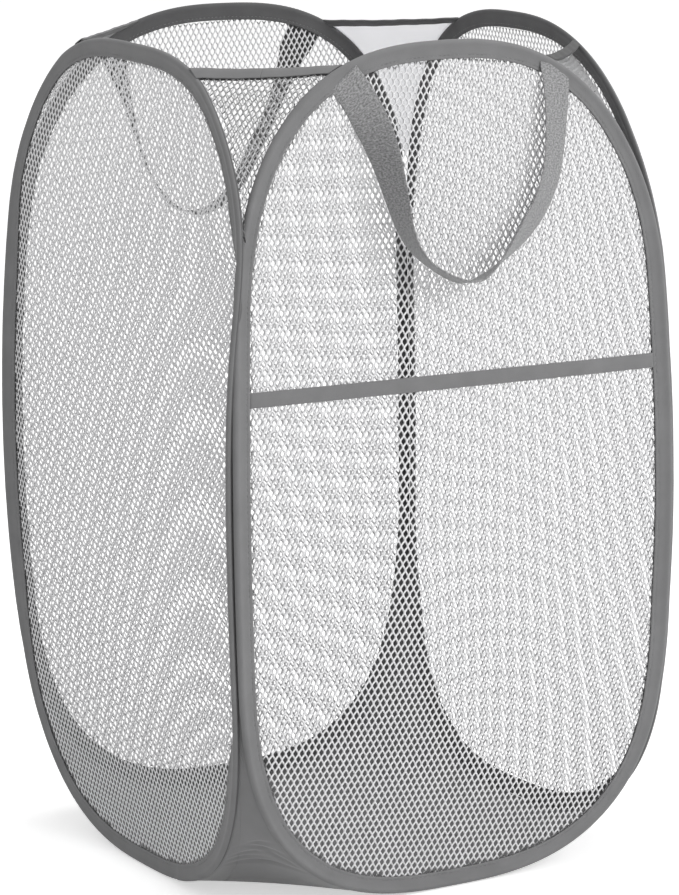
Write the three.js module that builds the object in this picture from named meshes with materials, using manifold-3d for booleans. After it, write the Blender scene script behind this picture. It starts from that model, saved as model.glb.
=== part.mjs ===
// Pop up laundry hamper: four sprung oval hoops, each with a net, sewn edge to edge
// into a square well with a cloth base and two carrying handles.
// Millimetres, +Z up, front towards -Y, origin on the floor at the middle of the base.
import * as THREE from 'three';
import Module from 'manifold-3d';

const wasm = await Module();
wasm.setup();

// Overall size
const hamperHeight = 610;
const hoopWidth = 354;
const straightLength = 240;

// Roundness of the hoop's ends: 2 is an ellipse, more is squarer
const topRoundShare = 2.6;
const bottomRoundShare = 2.8;

// Clearance between pieces that touch on the real hamper, and how far cuts run past a face
const clearance = 0.3;
const cutOverrun = 0.5;

// Spring wire and the crimped sleeve that joins its ends
const wireDiameter = 1.8;
const wireEndGap = 1;
const ferruleBore = 2.4;
const ferruleDiameter = 3.2;
const ferruleLength = 24;

// Binding tape, folded round the wire and over the edge of the net
const tapeThickness = 0.5;
const bindingWidth = 13.2;
const bindingChannel = 4.2;

// Net of the four panels and of the top corners
const netThickness = 0.6;
const netTuck = 7;
const netPitchAcross = 58;
const netPitchDown = 92;
const netStrand = 8;
const cornerPitchAcross = 27;
const cornerPitchDown = 42;
const cornerStrand = 4;
const netMargin = 3;
const netHoleInset = 19;

// Cloth of the base and of the plain back corner
const clothThickness = 0.8;
const baseCornerHeight = 132;

// Top corners: how far below the hoops' crowns the cloth starts, and how far from each panel's
// middle line the lower edge of its edging tape meets the hoop
const cornerDepth = 111;
const edgingReach = 104;
const edgingWidth = 12;

// Tape across the front
const frontTapeHeight = 375;
const frontTapeWidth = 10.5;
const frontTapeThickness = 0.6;

// Carrying handles, from webbing that lies flat at its ends and turns on edge at the bottom
const webbingWidth = 27;
const webbingThickness = 1.2;
const handleSpan = 165;
const handleDrop = 137;
const handleFlatEnd = 30;

// Handle line, left end to right end: share of half the span, share of the drop
const handleLineShares = [
  [-1.0, 0.0], [-0.91, 0.16], [-0.76, 0.38], [-0.62, 0.62], [-0.5, 0.82], [-0.3, 0.95],
  [0.0, 1.0], [0.28, 0.93], [0.52, 0.8], [0.76, 0.62], [0.9, 0.42], [0.96, 0.2], [1.0, 0.0],
];

// Numbers of facets
const arcCount = 8;
const bulbCount = 6;
const wireSideCount = 6;
const ferruleSideCount = 8;
const handleStepCount = 26;

// Sizes that follow from those above
const halfWidth = hoopWidth / 2;
const halfHeight = hamperHeight / 2;
const straightHalf = straightLength / 2;
const crownFlatHalf = ferruleLength / 2 + wireEndGap;
const arcHeight = halfHeight - straightHalf;
const channelRadius = bindingChannel / 2;
const bulbRadius = channelRadius + tapeThickness;
const slotHalf = netThickness / 2 + clearance;
const flangeHalf = slotHalf + tapeThickness;
// The round edges of two hoops lie side by side at each corner, and the planes of the
// hoops cross this far beyond the middle of each edge
const edgeToCrossing = (2 * bulbRadius + clearance) / Math.SQRT2;
const panelOffset = halfWidth - bulbRadius + edgeToCrossing;
const clothReach = panelOffset - bulbRadius - clearance;
const cornerNetReach = clothReach - netThickness;

const materials = {
  binding: new THREE.MeshStandardMaterial({ color: 0x828285, roughness: 0.85, metalness: 0 }),
  net: new THREE.MeshStandardMaterial({ color: 0xc9cacc, roughness: 0.7, metalness: 0 }),
  base: new THREE.MeshStandardMaterial({ color: 0x77787a, roughness: 0.9, metalness: 0 }),
  sheer: new THREE.MeshStandardMaterial({ color: 0xdedfe0, roughness: 0.8, metalness: 0 }),
  webbing: new THREE.MeshStandardMaterial({ color: 0x858688, roughness: 0.85, metalness: 0 }),
  steel: new THREE.MeshStandardMaterial({ color: 0x9a9da1, roughness: 0.35, metalness: 1 }),
};

const hamper = new THREE.Group();

// Each side of the hamper is one turned group, front first and then anticlockwise from above,
// and so is each corner, from the front left one
const sideNames = ['front', 'right', 'back', 'left'];
const cornerNames = ['front_left', 'front_right', 'back_right', 'back_left'];
const sides = sideNames.map((name, i) => quarterTurn(i));
const corners = cornerNames.map((name, i) => quarterTurn(i));

function quarterTurn(i) {
  const group = new THREE.Group();
  group.rotation.z = (i * Math.PI) / 2;
  hamper.add(group);
  return group;
}

function addPiece(parent, name, geometry, material) {
  const mesh = new THREE.Mesh(geometry, material);
  mesh.name = name;
  parent.add(mesh);
}

// A closed solid from vertices and triangles, turned so that its faces point out
function solidFrom(vertices, triangles) {
  let volume = 0;
  for (const [a, b, c] of triangles) {
    volume += vertices[a].dot(vertices[b].clone().cross(vertices[c]));
  }
  const facing = volume < 0 ? triangles.map(([a, b, c]) => [a, c, b]) : triangles;
  const geometry = new THREE.BufferGeometry().setFromPoints(vertices);
  geometry.setIndex(facing.flat());
  geometry.computeVertexNormals();
  return geometry;
}

// Triangles over a convex ring
function fan(size) {
  return Array.from({ length: size - 2 }, (_, j) => [0, j + 1, j + 2]);
}

// Joins rings of equal length into a solid, with a cap of triangles over each end
function loft(rings, caps) {
  const size = rings[0].length;
  const end = (rings.length - 1) * size;
  const triangles = caps.flatMap(([a, b, c]) => [[a, b, c], [end + a, end + c, end + b]]);
  for (let i = 0; i < rings.length - 1; i++) triangles.push(...band(i * size, (i + 1) * size, size));
  return solidFrom(rings.flat(), triangles);
}

// Joins rings of equal length into a solid that closes on itself
function loopLoft(rings) {
  const size = rings[0].length;
  const triangles = rings.flatMap((ring, i) => band(i * size, ((i + 1) % rings.length) * size, size));
  return solidFrom(rings.flat(), triangles);
}

function band(here, next, size) {
  return Array.from({ length: size }, (_, j) => {
    const k = (j + 1) % size;
    return [[here + j, next + j, next + k], [here + j, next + k, here + k]];
  }).flat();
}

// A flat prism over a convex ring of points, through the plane of a net
function prism(ring, thickness) {
  const count = ring.length;
  const vertices = [-thickness / 2, thickness / 2].flatMap((out) =>
    ring.map((p) => new THREE.Vector3(p.x, p.y, out)),
  );
  const triangles = ring.flatMap((p, j) => {
    const k = (j + 1) % count;
    return [[j, k, k + count], [j, k + count, j + count]];
  });
  for (let j = 1; j < count - 1; j++) {
    triangles.push([0, j + 1, j], [count, count + j, count + j + 1]);
  }
  return solidFrom(vertices, triangles);
}

function toSolid(geometry) {
  return new wasm.Manifold(new wasm.Mesh({
    numProp: 3,
    vertProperties: geometry.attributes.position.array,
    triVerts: new Uint32Array(geometry.index.array),
  }));
}

// Cuts holes through a flat sheet as far as a frame reaches, and then moves each of its
// points to its place
function cutAndPlace(flatSheet, frame, holes, place) {
  const cutter = holes.map(toSolid).reduce((all, one) => all.add(one)).intersect(toSolid(frame));
  const mesh = toSolid(flatSheet).subtract(cutter).getMesh();
  const vertices = [];
  for (let i = 0; i < mesh.numVert; i++) {
    const [x, y, out] = mesh.vertProperties.slice(i * mesh.numProp, i * mesh.numProp + 3);
    vertices.push(place(x, y, out));
  }
  const triangles = [];
  for (let i = 0; i < mesh.triVerts.length; i += 3) {
    triangles.push([...mesh.triVerts.slice(i, i + 3)]);
  }
  return solidFrom(vertices, triangles);
}

// Outline of a hoop

// The point of a hoop's end arc at an angle from its crown: distance from the middle line,
// height above the hoop's middle, and the direction out of the arc
function arcPoint(angle, roundShare) {
  const power = 2 / roundShare;
  const acrossShare = Math.sin(angle) ** power;
  const riseShare = Math.max(Math.cos(angle), 0) ** power;
  const out = new THREE.Vector2(
    acrossShare ** (roundShare - 1) / halfWidth,
    riseShare ** (roundShare - 1) / arcHeight,
  ).normalize();
  return { u: halfWidth * acrossShare, rise: straightHalf + arcHeight * riseShare, out };
}

// The angle at which the arc is a given distance from the middle line, or at a given height
function angleAcross(u, roundShare) {
  return Math.asin((u / halfWidth) ** (roundShare / 2));
}

function angleAtRise(rise, roundShare) {
  return Math.acos(((rise - straightHalf) / arcHeight) ** (roundShare / 2));
}

// Points of one end arc, from its crown to the straight side. The crown is flat as far as
// the sleeve on the wire reaches
function endArc(roundShare) {
  const angles = [0, angleAcross(crownFlatHalf, roundShare)];
  for (let k = 1; k <= arcCount; k++) angles.push(((k / arcCount) * Math.PI) / 2);
  return angles.map((angle) => arcPoint(angle, roundShare));
}

// The whole outline, anticlockwise from the middle of the bottom, with directions inwards
function hoopOutline() {
  const top = endArc(topRoundShare);
  const bottom = endArc(bottomRoundShare);
  const at = (p, side, up) => ({
    u: side * p.u,
    z: halfHeight + up * p.rise,
    inU: -side * p.out.x,
    inZ: -up * p.out.y,
  });
  return [
    ...bottom.map((p) => at(p, 1, -1)),
    ...top.toReversed().map((p) => at(p, 1, 1)),
    ...top.slice(1).map((p) => at(p, -1, 1)),
    ...bottom.slice(1).toReversed().map((p) => at(p, -1, -1)),
  ];
}

const outline = hoopOutline();

// A point of the front panel: inset from the hoop's outer edge, and out of the panel's plane
function onPanel(p, inset, out) {
  return new THREE.Vector3(p.u + p.inU * inset, -panelOffset - out, p.z + p.inZ * inset);
}

// Height of the binding's inner edge on the top arc, at a distance from the middle line
function innerEdgeHeight(u) {
  const edge = outline.map((p) => onPanel(p, bindingWidth, 0)).filter((p) => p.z > halfHeight);
  const after = edge.findIndex((p) => p.x < u);
  const [a, b] = [edge[after - 1], edge[after]];
  return THREE.MathUtils.mapLinear(u, a.x, b.x, a.z, b.z);
}

// Hoop wire and its sleeve

function hoopWire() {
  const start = { ...outline[0], u: wireEndGap / 2 };
  const end = { ...outline[0], u: -wireEndGap / 2 };
  const radius = wireDiameter / 2;
  const rings = [start, ...outline.slice(1), end].map((p) =>
    Array.from({ length: wireSideCount }, (_, j) => {
      const angle = (j / wireSideCount) * 2 * Math.PI;
      return onPanel(p, bulbRadius + radius * Math.cos(angle), radius * Math.sin(angle));
    }),
  );
  return loft(rings, fan(wireSideCount));
}

function ferrule() {
  const section = [
    [ferruleBore / 2, -ferruleLength / 2],
    [ferruleDiameter / 2, -ferruleLength / 2],
    [ferruleDiameter / 2, ferruleLength / 2],
    [ferruleBore / 2, ferruleLength / 2],
    [ferruleBore / 2, -ferruleLength / 2],
  ];
  const geometry = new THREE.LatheGeometry(
    section.map(([r, along]) => new THREE.Vector2(r, along)),
    ferruleSideCount,
  );
  geometry.rotateZ(Math.PI / 2);
  geometry.translate(0, -panelOffset, bulbRadius);
  return geometry;
}

// Binding: a folded tape whose section is a round channel with two flanges
function bindingSection() {
  const outerStart = Math.asin(flangeHalf / bulbRadius);
  const innerStart = Math.asin(slotHalf / channelRadius);
  const arc = (radius, start) =>
    Array.from({ length: bulbCount + 1 }, (_, j) => {
      const angle = start + (j / bulbCount) * 2 * (Math.PI - start);
      return [bulbRadius + radius * Math.cos(angle), radius * Math.sin(angle)];
    });
  return [
    [bindingWidth, flangeHalf],
    ...arc(bulbRadius, outerStart),
    [bindingWidth, -flangeHalf],
    [bindingWidth, -slotHalf],
    ...arc(channelRadius, innerStart).toReversed(),
    [bindingWidth, slotHalf],
  ];
}

function binding() {
  const section = bindingSection();
  const rings = outline.map((p) => section.map(([inset, out]) => onPanel(p, inset, out)));
  return loopLoft(rings);
}

// Nets

// Staggered rows of pointed holes between strands, where their middles lie inside
function netHoles(middle, pitchAcross, pitchDown, strand, reach, inside) {
  const holes = [];
  const halfAcross = (pitchAcross - strand) / 2;
  const halfDown = (halfAcross * pitchDown) / pitchAcross;
  const corners = [[0, -halfDown], [halfAcross, 0], [0, halfDown], [-halfAcross, 0]];
  const rowCount = Math.ceil(reach / pitchDown) * 2;
  const columnCount = Math.ceil(reach / pitchAcross);
  for (let row = -rowCount; row <= rowCount; row++) {
    for (let column = -columnCount; column <= columnCount; column++) {
      const x = (column + (row % 2) / 2) * pitchAcross;
      const y = middle + (row * pitchDown) / 2;
      if (!inside(x, y)) continue;
      const ring = corners.map(([dx, dy]) => new THREE.Vector2(x + dx, y + dy));
      holes.push(prism(ring, netThickness + cutOverrun + cutOverrun));
    }
  }
  return holes;
}

function panelNet() {
  const inset = (distance) =>
    outline.map((p) => new THREE.Vector2(p.u + p.inU * distance, p.z + p.inZ * distance));
  const frame = inset(netHoleInset);
  const holes = netHoles(
    halfHeight, netPitchAcross, netPitchDown, netStrand, hamperHeight,
    (u, z) => insideRing(frame, u, z),
  );
  return cutAndPlace(
    prism(inset(netTuck), netThickness), prism(frame, netThickness + cutOverrun), holes,
    (u, z, out) => new THREE.Vector3(u, -panelOffset - out, z),
  );
}

// Whether a point lies inside a convex ring that runs anticlockwise
function insideRing(ring, x, y) {
  return ring.every((a, j) => {
    const b = ring[(j + 1) % ring.length];
    return (b.x - a.x) * (y - a.y) > (b.y - a.y) * (x - a.x);
  });
}

// Corner cloths: each spans between two hoops with level lines, so it is curved one way only.
// Its profile stands in the upright plane through the corner

// The profile's point and outward direction at an angle of the end arc. reach is how far from
// the hamper's middle the cloth's edges lie
function profilePoint(angle, roundShare, up, reach) {
  const p = arcPoint(angle, roundShare);
  const out = new THREE.Vector2(p.out.x * Math.SQRT2, up * p.out.y).normalize();
  return { d: (p.u + reach) / Math.SQRT2, z: halfHeight + up * p.rise, out };
}

// A point of the front left corner, from a profile point, a distance out of the cloth, and
// either a distance along the level line or a side, for the cloth's edge on that side
function onCorner(p, out, along) {
  const d = p.d + p.out.x * out;
  return new THREE.Vector3(
    (along - d) / Math.SQRT2,
    (-along - d) / Math.SQRT2,
    p.z + p.out.y * out,
  );
}

function onCornerEdge(p, out, side, reach) {
  const d = p.d + p.out.x * out;
  return onCorner(p, out, side * (reach * Math.SQRT2 - d));
}

// The profile of a top corner: the curve from where its cloth starts up to the edging tape,
// and then straight on inside the tape
function topProfile() {
  const startAngle = angleAtRise(halfHeight - cornerDepth, topRoundShare);
  const endAngle = angleAcross(edgingReach, topRoundShare);
  const curve = Array.from({ length: arcCount + 1 }, (_, j) => {
    const angle = startAngle + ((endAngle - startAngle) * j) / arcCount;
    return profilePoint(angle, topRoundShare, 1, cornerNetReach);
  });
  return [...curve, upProfile(curve.at(-1), edgingWidth)];
}

// The point of a straight profile a distance above another
function upProfile(p, distance) {
  return { d: p.d - p.out.y * distance, z: p.z + p.out.x * distance, out: p.out };
}

function cornerNet() {
  const profile = topProfile();
  let length = 0;
  profile.forEach((p, j) => {
    const before = profile[Math.max(j - 1, 0)];
    length += Math.hypot(p.d - before.d, p.z - before.z);
    p.length = length;
    p.half = cornerNetReach * Math.SQRT2 - p.d;
  });
  // The cloth laid flat, drawn in by a margin at its sides
  const flat = (points, margin, thickness) => loft(
    points.map((p) => [[1, 1], [-1, 1], [-1, -1], [1, -1]].map(([side, out]) =>
      new THREE.Vector3(side * (p.half - margin), p.length, (out * thickness) / 2))),
    fan(4),
  );
  const at = (y) => {
    let j = 1;
    while (j < profile.length - 1 && profile[j].length < y) j++;
    const [a, b] = [profile[j - 1], profile[j]];
    const share = (y - a.length) / (b.length - a.length);
    const mix = (key) => a[key] + (b[key] - a[key]) * share;
    return { d: mix('d'), z: mix('z'), half: mix('half'), out: a.out.clone().lerp(b.out, share) };
  };
  const open = profile.slice(0, -1).filter((p) => p.half - netMargin > netMargin);
  const end = open.at(-1).length;
  const inside = (x, y) =>
    y > open[0].length && y < end && Math.abs(x) < at(y).half - netMargin;
  const middle = end - cornerPitchDown / 2;
  const holes = netHoles(middle, cornerPitchAcross, cornerPitchDown, cornerStrand, hamperHeight, inside);
  return cutAndPlace(
    flat(profile, 0, netThickness), flat(open, netMargin, netThickness + cutOverrun), holes,
    (x, y, out) => onCorner(at(y), out, x),
  );
}

// The back corner that faces the front is plain cloth
function cornerCloth() {
  const half = netThickness / 2;
  const rings = topProfile().map((p) =>
    [[half, 1], [half, -1], [-half, -1], [-half, 1]].map(([out, side]) =>
      onCornerEdge(p, out, side, cornerNetReach)),
  );
  return loft(rings, fan(4));
}

// Edging tape, folded over the upper edge of a corner's net
function cornerEdging() {
  const low = topProfile().at(-2);
  const end = edgingWidth + clearance;
  const section = [
    [0, slotHalf],
    [end, slotHalf],
    [end, -slotHalf],
    [0, -slotHalf],
    [0, -flangeHalf],
    [end + tapeThickness, -flangeHalf],
    [end + tapeThickness, flangeHalf],
    [0, flangeHalf],
  ];
  const shape = section.map(([up, out]) => new THREE.Vector2(up, out));
  const rings = [-1, 1].map((side) =>
    section.map(([up, out]) => onCornerEdge(upProfile(low, up), out, side, clothReach)));
  return loft(rings, THREE.ShapeUtils.triangulateShape(shape, []));
}

// Base: one cloth with a flat square on the floor, set cornerwise, and four raised corners
function baseSheet() {
  const endAngle = angleAtRise(halfHeight - baseCornerHeight, bottomRoundShare);
  const rows = Array.from({ length: arcCount + 1 }, (_, j) =>
    profilePoint((endAngle * j) / arcCount, bottomRoundShare, -1, clothReach));
  const vertices = [];
  const triangles = [];
  const index = new Map();
  const vertex = (row, side, corner, layer) => {
    const point = onCornerEdge(rows[row], -layer * clothThickness, side, clothReach)
      .applyAxisAngle(new THREE.Vector3(0, 0, 1), (corner * Math.PI) / 2);
    const key = row ? [row, side, corner, layer].join() : [(corner + (side > 0)) % 4, layer].join();
    if (!index.has(key)) {
      index.set(key, vertices.length);
      vertices.push(point);
    }
    return index.get(key);
  };
  const quad = (a, b, c, d) => triangles.push([a, b, c], [a, c, d]);
  for (let corner = 0; corner < cornerNames.length; corner++) {
    const v = (row, side, layer) => vertex(row, side, corner, layer);
    for (let row = 1; row < rows.length; row++) {
      quad(v(row - 1, 1, 0), v(row - 1, -1, 0), v(row, -1, 0), v(row, 1, 0));
      quad(v(row - 1, -1, 1), v(row - 1, 1, 1), v(row, 1, 1), v(row, -1, 1));
      quad(v(row - 1, 1, 1), v(row - 1, 1, 0), v(row, 1, 0), v(row, 1, 1));
      quad(v(row - 1, -1, 0), v(row - 1, -1, 1), v(row, -1, 1), v(row, -1, 0));
    }
    const end = rows.length - 1;
    quad(v(end, -1, 1), v(end, 1, 1), v(end, 1, 0), v(end, -1, 0));
  }
  const middle = cornerNames.map((name, corner) => [0, 1].map((layer) => vertex(0, 1, corner, layer)));
  quad(...middle.map((m) => m[0]));
  quad(...middle.map((m) => m[1]).toReversed());
  return solidFrom(vertices, triangles);
}

// Tape across the front, sewn to the outside of the net
function frontTape() {
  const length = hoopWidth - 2 * (bindingWidth + clearance);
  const geometry = new THREE.BoxGeometry(length, frontTapeThickness, frontTapeWidth);
  const out = netThickness / 2 + clearance + frontTapeThickness / 2;
  geometry.translate(0, -panelOffset - out, frontTapeHeight);
  return geometry;
}

// Handle: webbing in a loop down the outside of the panel. Its two ends lie flat under the
// binding, and it turns on edge towards the bottom of the loop
function handle() {
  const topHeight = innerEdgeHeight((handleSpan + webbingWidth) / 2) - clearance;
  const curve = new THREE.CatmullRomCurve3(
    handleLineShares.map(([acrossShare, dropShare]) =>
      new THREE.Vector3((acrossShare * handleSpan) / 2, 0, topHeight - dropShare * handleDrop)),
  );
  const inner = netThickness / 2 + clearance + webbingThickness / 2;
  const length = curve.getLength();
  const rings = [];
  for (let i = 0; i <= handleStepCount; i++) {
    const share = i / handleStepCount;
    const point = curve.getPointAt(share);
    const ahead = curve.getTangentAt(share);
    const fromEnd = (Math.min(share, 1 - share) * length - handleFlatEnd) / (length / 2 - handleFlatEnd);
    const turn = (THREE.MathUtils.smoothstep(fromEnd, 0, 1) * Math.PI) / 2;
    const across = new THREE.Vector3(-ahead.z, 0, ahead.x);
    if (share === 0 || share === 1) across.set(-Math.sign(ahead.z), 0, 0);
    const out = new THREE.Vector3(0, -1, 0);
    const wide = across.clone().multiplyScalar(Math.cos(turn)).addScaledVector(out, Math.sin(turn));
    const thick = across.clone().multiplyScalar(-Math.sin(turn)).addScaledVector(out, Math.cos(turn));
    const middle = point.addScaledVector(out, panelOffset + inner + (webbingWidth / 2) * Math.sin(turn));
    rings.push([[-1, 1], [1, 1], [1, -1], [-1, -1]].map(([w, t]) =>
      middle.clone()
        .addScaledVector(wide, (w * webbingWidth) / 2)
        .addScaledVector(thick, (t * webbingThickness) / 2)));
  }
  return loft(rings, fan(4));
}

sides.forEach((side, i) => {
  const name = sideNames[i];
  addPiece(side, 'hoop_wire_' + name, hoopWire(), materials.steel);
  addPiece(side, 'ferrule_' + name, ferrule(), materials.steel);
  addPiece(side, 'binding_' + name, binding(), materials.binding);
  addPiece(side, 'net_' + name, panelNet(), materials.net);
});

corners.forEach((corner, i) => {
  const name = cornerNames[i];
  if (name === 'back_right') addPiece(corner, 'corner_cloth_' + name, cornerCloth(), materials.sheer);
  else addPiece(corner, 'corner_net_' + name, cornerNet(), materials.net);
  addPiece(corner, 'corner_edging_' + name, cornerEdging(), materials.binding);
});

addPiece(hamper, 'base_sheet', baseSheet(), materials.base);
addPiece(sides[0], 'front_tape', frontTape(), materials.binding);
addPiece(sides[0], 'handle_front', handle(), materials.webbing);
addPiece(sides[2], 'handle_back', handle(), materials.webbing);

export default hamper;
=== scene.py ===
import math
import bpy
import numpy as np
from mathutils import Matrix, Vector


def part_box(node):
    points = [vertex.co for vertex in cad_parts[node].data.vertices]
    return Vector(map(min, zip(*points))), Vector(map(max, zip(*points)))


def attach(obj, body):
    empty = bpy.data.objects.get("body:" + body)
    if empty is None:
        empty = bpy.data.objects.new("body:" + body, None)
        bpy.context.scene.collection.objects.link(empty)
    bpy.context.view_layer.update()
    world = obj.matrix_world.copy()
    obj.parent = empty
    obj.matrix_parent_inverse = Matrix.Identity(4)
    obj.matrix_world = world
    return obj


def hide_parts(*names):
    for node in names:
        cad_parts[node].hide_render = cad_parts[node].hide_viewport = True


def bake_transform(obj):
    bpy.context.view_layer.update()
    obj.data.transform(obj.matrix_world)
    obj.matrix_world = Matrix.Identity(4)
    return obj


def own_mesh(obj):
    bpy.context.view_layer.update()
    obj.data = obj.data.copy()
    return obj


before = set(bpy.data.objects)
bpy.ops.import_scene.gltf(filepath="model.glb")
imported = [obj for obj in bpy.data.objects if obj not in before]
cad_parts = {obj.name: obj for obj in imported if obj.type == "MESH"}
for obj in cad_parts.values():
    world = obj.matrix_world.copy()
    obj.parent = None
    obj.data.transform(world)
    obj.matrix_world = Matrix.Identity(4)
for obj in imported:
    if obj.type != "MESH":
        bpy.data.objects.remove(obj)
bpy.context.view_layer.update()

mm = 0.001
sideNames = ["front", "right", "back", "left"]
cornerNames = ["front_left", "front_right", "back_right", "back_left"]
bodyOf = {name: name + "_panel" for name in sideNames}


# camera, in degrees and millimetres, turned about the middle of the hamper

cameraView = {"azimuth": -30.0, "elevation": 11.72, "roll": -0.71, "distance": 3000.0,
              "right": 6.58, "up": -9.64, "focalPixels": 4055.7, "imageWidth": 679, "sensor": 36.0}


def placeCamera(view):
    azimuth, elevation, roll = (math.radians(view[key]) for key in ("azimuth", "elevation", "roll"))
    back = Vector((math.sin(azimuth) * math.cos(elevation), -math.cos(azimuth) * math.cos(elevation),
                   math.sin(elevation)))
    right = (-back).cross(Vector((0, 0, 1))).normalized()
    up = right.cross(-back)
    right, up = (right * math.cos(roll) + up * math.sin(roll), up * math.cos(roll) - right * math.sin(roll))
    middle = Vector((0, 0, hoop["height"] / 2))
    place = middle + right * view["right"] + up * view["up"] + back * view["distance"]
    data = bpy.data.cameras.new("camera")
    data.sensor_fit = "HORIZONTAL"
    data.sensor_width = view["sensor"]
    data.lens = view["focalPixels"] / view["imageWidth"] * view["sensor"]
    camera = bpy.data.objects.new("camera", data)
    bpy.context.collection.objects.link(camera)
    turn = Matrix((right, up, back)).transposed().to_4x4()
    camera.matrix_world = Matrix.Translation(place * mm) @ turn
    bpy.context.scene.camera = camera


# hoop sizes, in millimetres, as the frame has them

low, high = (np.array(corner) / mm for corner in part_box("binding_front"))
hoop = {"height": high[2] - low[2], "halfWidth": (high[0] - low[0]) / 2, "plane": -(low[1] + high[1]) / 2,
        "bead": (high[1] - low[1]) / 2, "straightHalf": 120.0, "topRound": 2.6, "bottomRound": 2.8,
        "clothGap": 0.3}
# the sprung hoops push the panels out in the middle and draw them in at both ends
barrelShape = {"grow": 1.4, "bow": 4.19, "reach": 125.0, "middle": 289.4}
clothReach = hoop["plane"] - hoop["bead"] - hoop["clothGap"]
placeCamera(cameraView)
print("camera placed")


def barrel(points):
    shape = barrelShape
    z = points[:, 2]
    bow = shape["grow"] + shape["bow"] * (1 - ((z - shape["middle"]) / shape["reach"]) ** 2)
    out = points.copy()
    out[:, :2] *= (1 + bow / hoop["halfWidth"])[:, None]
    return out


# a sewn hamper never stands quite true: how far its corners lean along x and z at each height
stance = {"heights": [0, 60, 130, 200, 300, 380, 450, 530, 610],
          "front_right": {0: [13, 7, 0, -3, -4, -4, -2, -2, 2]},
          "back_right": {0: [-4, -4, -4, -4, -4, -4, -3, 1, 4], 2: [0, 0, 0, 0, 0, 0, 0, -1, -3]},
          "back_left": {0: [0, 3, 5.5, 5, 4.5, 4, 4.5, 3, 0], 2: [0, 0, 0, 0, 0, 0, 0, 3, 7]}}


def lean(points):
    x, y, z = points.T
    right, back = (np.clip(v / hoop["halfWidth"] / 2 + 0.5, 0, 1) for v in (x, y))
    weights = {"front_right": right * (1 - back), "back_right": right * back, "back_left": (1 - right) * back}
    out = points.copy()
    for name, weight in weights.items():
        for axis, amounts in stance[name].items():
            out[:, axis] += weight * np.interp(z, stance["heights"], amounts)
    return out


def quarterTurn(points, count):
    angle = count * math.pi / 2
    turn = np.array([[math.cos(angle), math.sin(angle), 0], [-math.sin(angle), math.cos(angle), 0], [0, 0, 1]])
    return points @ turn


def edgeHalf(z):
    # half the hoop's width at each height
    rise = z - hoop["height"] / 2
    share = np.clip((np.abs(rise) - hoop["straightHalf"]) / (hoop["height"] / 2 - hoop["straightHalf"]), 0, 1)
    rounding = np.where(rise > 0, hoop["topRound"], hoop["bottomRound"])
    return hoop["halfWidth"] * (1 - share ** rounding) ** (1 / rounding)


# where two hoops are sewn together the tapes' inner edges are drawn into the hamper: each panel's turn in
# degrees at its edge before and after it, whole up to one rise from the middle and none from the next
seam = {"turns": {"front": (3, 10), "right": (10, 25), "back": (25, 18), "left": (18, 84)},
        "full": 105.0, "none": 200.0, "reach": 10.6, "fade": 45.0}
# the left hoop is wider at its shoulders and flatter at its top than the others, and leans in at the front
leftHoop = {"frontSpread": 14.0, "backSpread": 7.0, "at": 510.0, "range": 90.0, "leanIn": 3.0,
            "drop": 8.0, "dropHalf": 115.0, "dropFrom": 520.0, "dropRange": 90.0}


def ease(share):
    share = np.clip(share, 0, 1)
    return share * share * (3 - 2 * share)


def shoulder(z):
    return np.exp(-((z - leftHoop["at"]) / leftHoop["range"]) ** 2)


def onPanel(side, u, z, out):
    # a place on a panel, from its middle line, its height and how far out it lies, as the hamper stands
    rise = np.abs(z - hoop["height"] / 2)
    near = ease((seam["none"] - rise) / (seam["none"] - seam["full"]))
    before, after = (np.radians(turn) * near for turn in seam["turns"][sideNames[side]])
    turn = np.where(u < 0, before, after)
    reach = edgeHalf(z) - np.abs(u) - hoop["bead"]
    share = np.clip((u / hoop["halfWidth"] + 1) / 2, 0, 1)
    # the net between the tapes eases back to the hoops' plane
    fade = np.exp(-np.maximum(reach - seam["reach"], 0) / seam["fade"])
    reach = np.clip(reach, 0, seam["reach"]) * fade
    across = u + np.sign(u) * reach * (1 - np.cos(turn))
    if sideNames[side] == "left":
        bulge = shoulder(z)
        spread = leftHoop["backSpread"] + (leftHoop["frontSpread"] - leftHoop["backSpread"]) * share
        out = out - leftHoop["leanIn"] * bulge * share
        dropped = ease((z - leftHoop["dropFrom"]) / leftHoop["dropRange"])
        z = z - leftHoop["drop"] * dropped * np.clip(1 - (across / leftHoop["dropHalf"]) ** 2, 0, 1)
        across = across * (1 + spread / hoop["halfWidth"] * bulge)
    flat = np.stack([across, -hoop["plane"] - out + reach * np.sin(turn), z], 1)
    return lean(quarterTurn(barrel(flat), side))


# hoop outline

def endArc(roundness, count=400):
    angle = np.linspace(0, math.pi / 2, count)
    power = 2 / roundness
    u = hoop["halfWidth"] * np.sin(angle) ** power
    rise = hoop["straightHalf"] + (hoop["height"] / 2 - hoop["straightHalf"]) * np.maximum(np.cos(angle), 0) ** power
    return u, rise


def hoopLine(count):
    # evenly spaced points round the hoop's outer edge from the middle of its foot, with directions inwards
    middle = hoop["height"] / 2
    footU, footRise = endArc(hoop["bottomRound"])
    headU, headRise = endArc(hoop["topRound"])
    u = np.concatenate([footU, headU[::-1]])
    z = np.concatenate([middle - footRise, middle + headRise[::-1]])
    u, z = np.concatenate([u, -u[::-1]]), np.concatenate([z, z[::-1]])
    step = np.hypot(np.diff(u), np.diff(z))
    apart = np.concatenate([[True], step > 1e-6])
    u, z = u[apart], z[apart]
    length = np.concatenate([[0], np.cumsum(np.hypot(np.diff(u), np.diff(z)))])
    along = np.linspace(0, length[-1], count, endpoint=False)
    u, z = np.interp(along, length, u), np.interp(along, length, z)
    du, dz = np.roll(u, -1) - np.roll(u, 1), np.roll(z, -1) - np.roll(z, 1)
    size = np.hypot(du, dz)
    return {"u": u, "z": z, "inU": -dz / size, "inZ": du / size, "along": along, "length": length[-1]}


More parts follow.
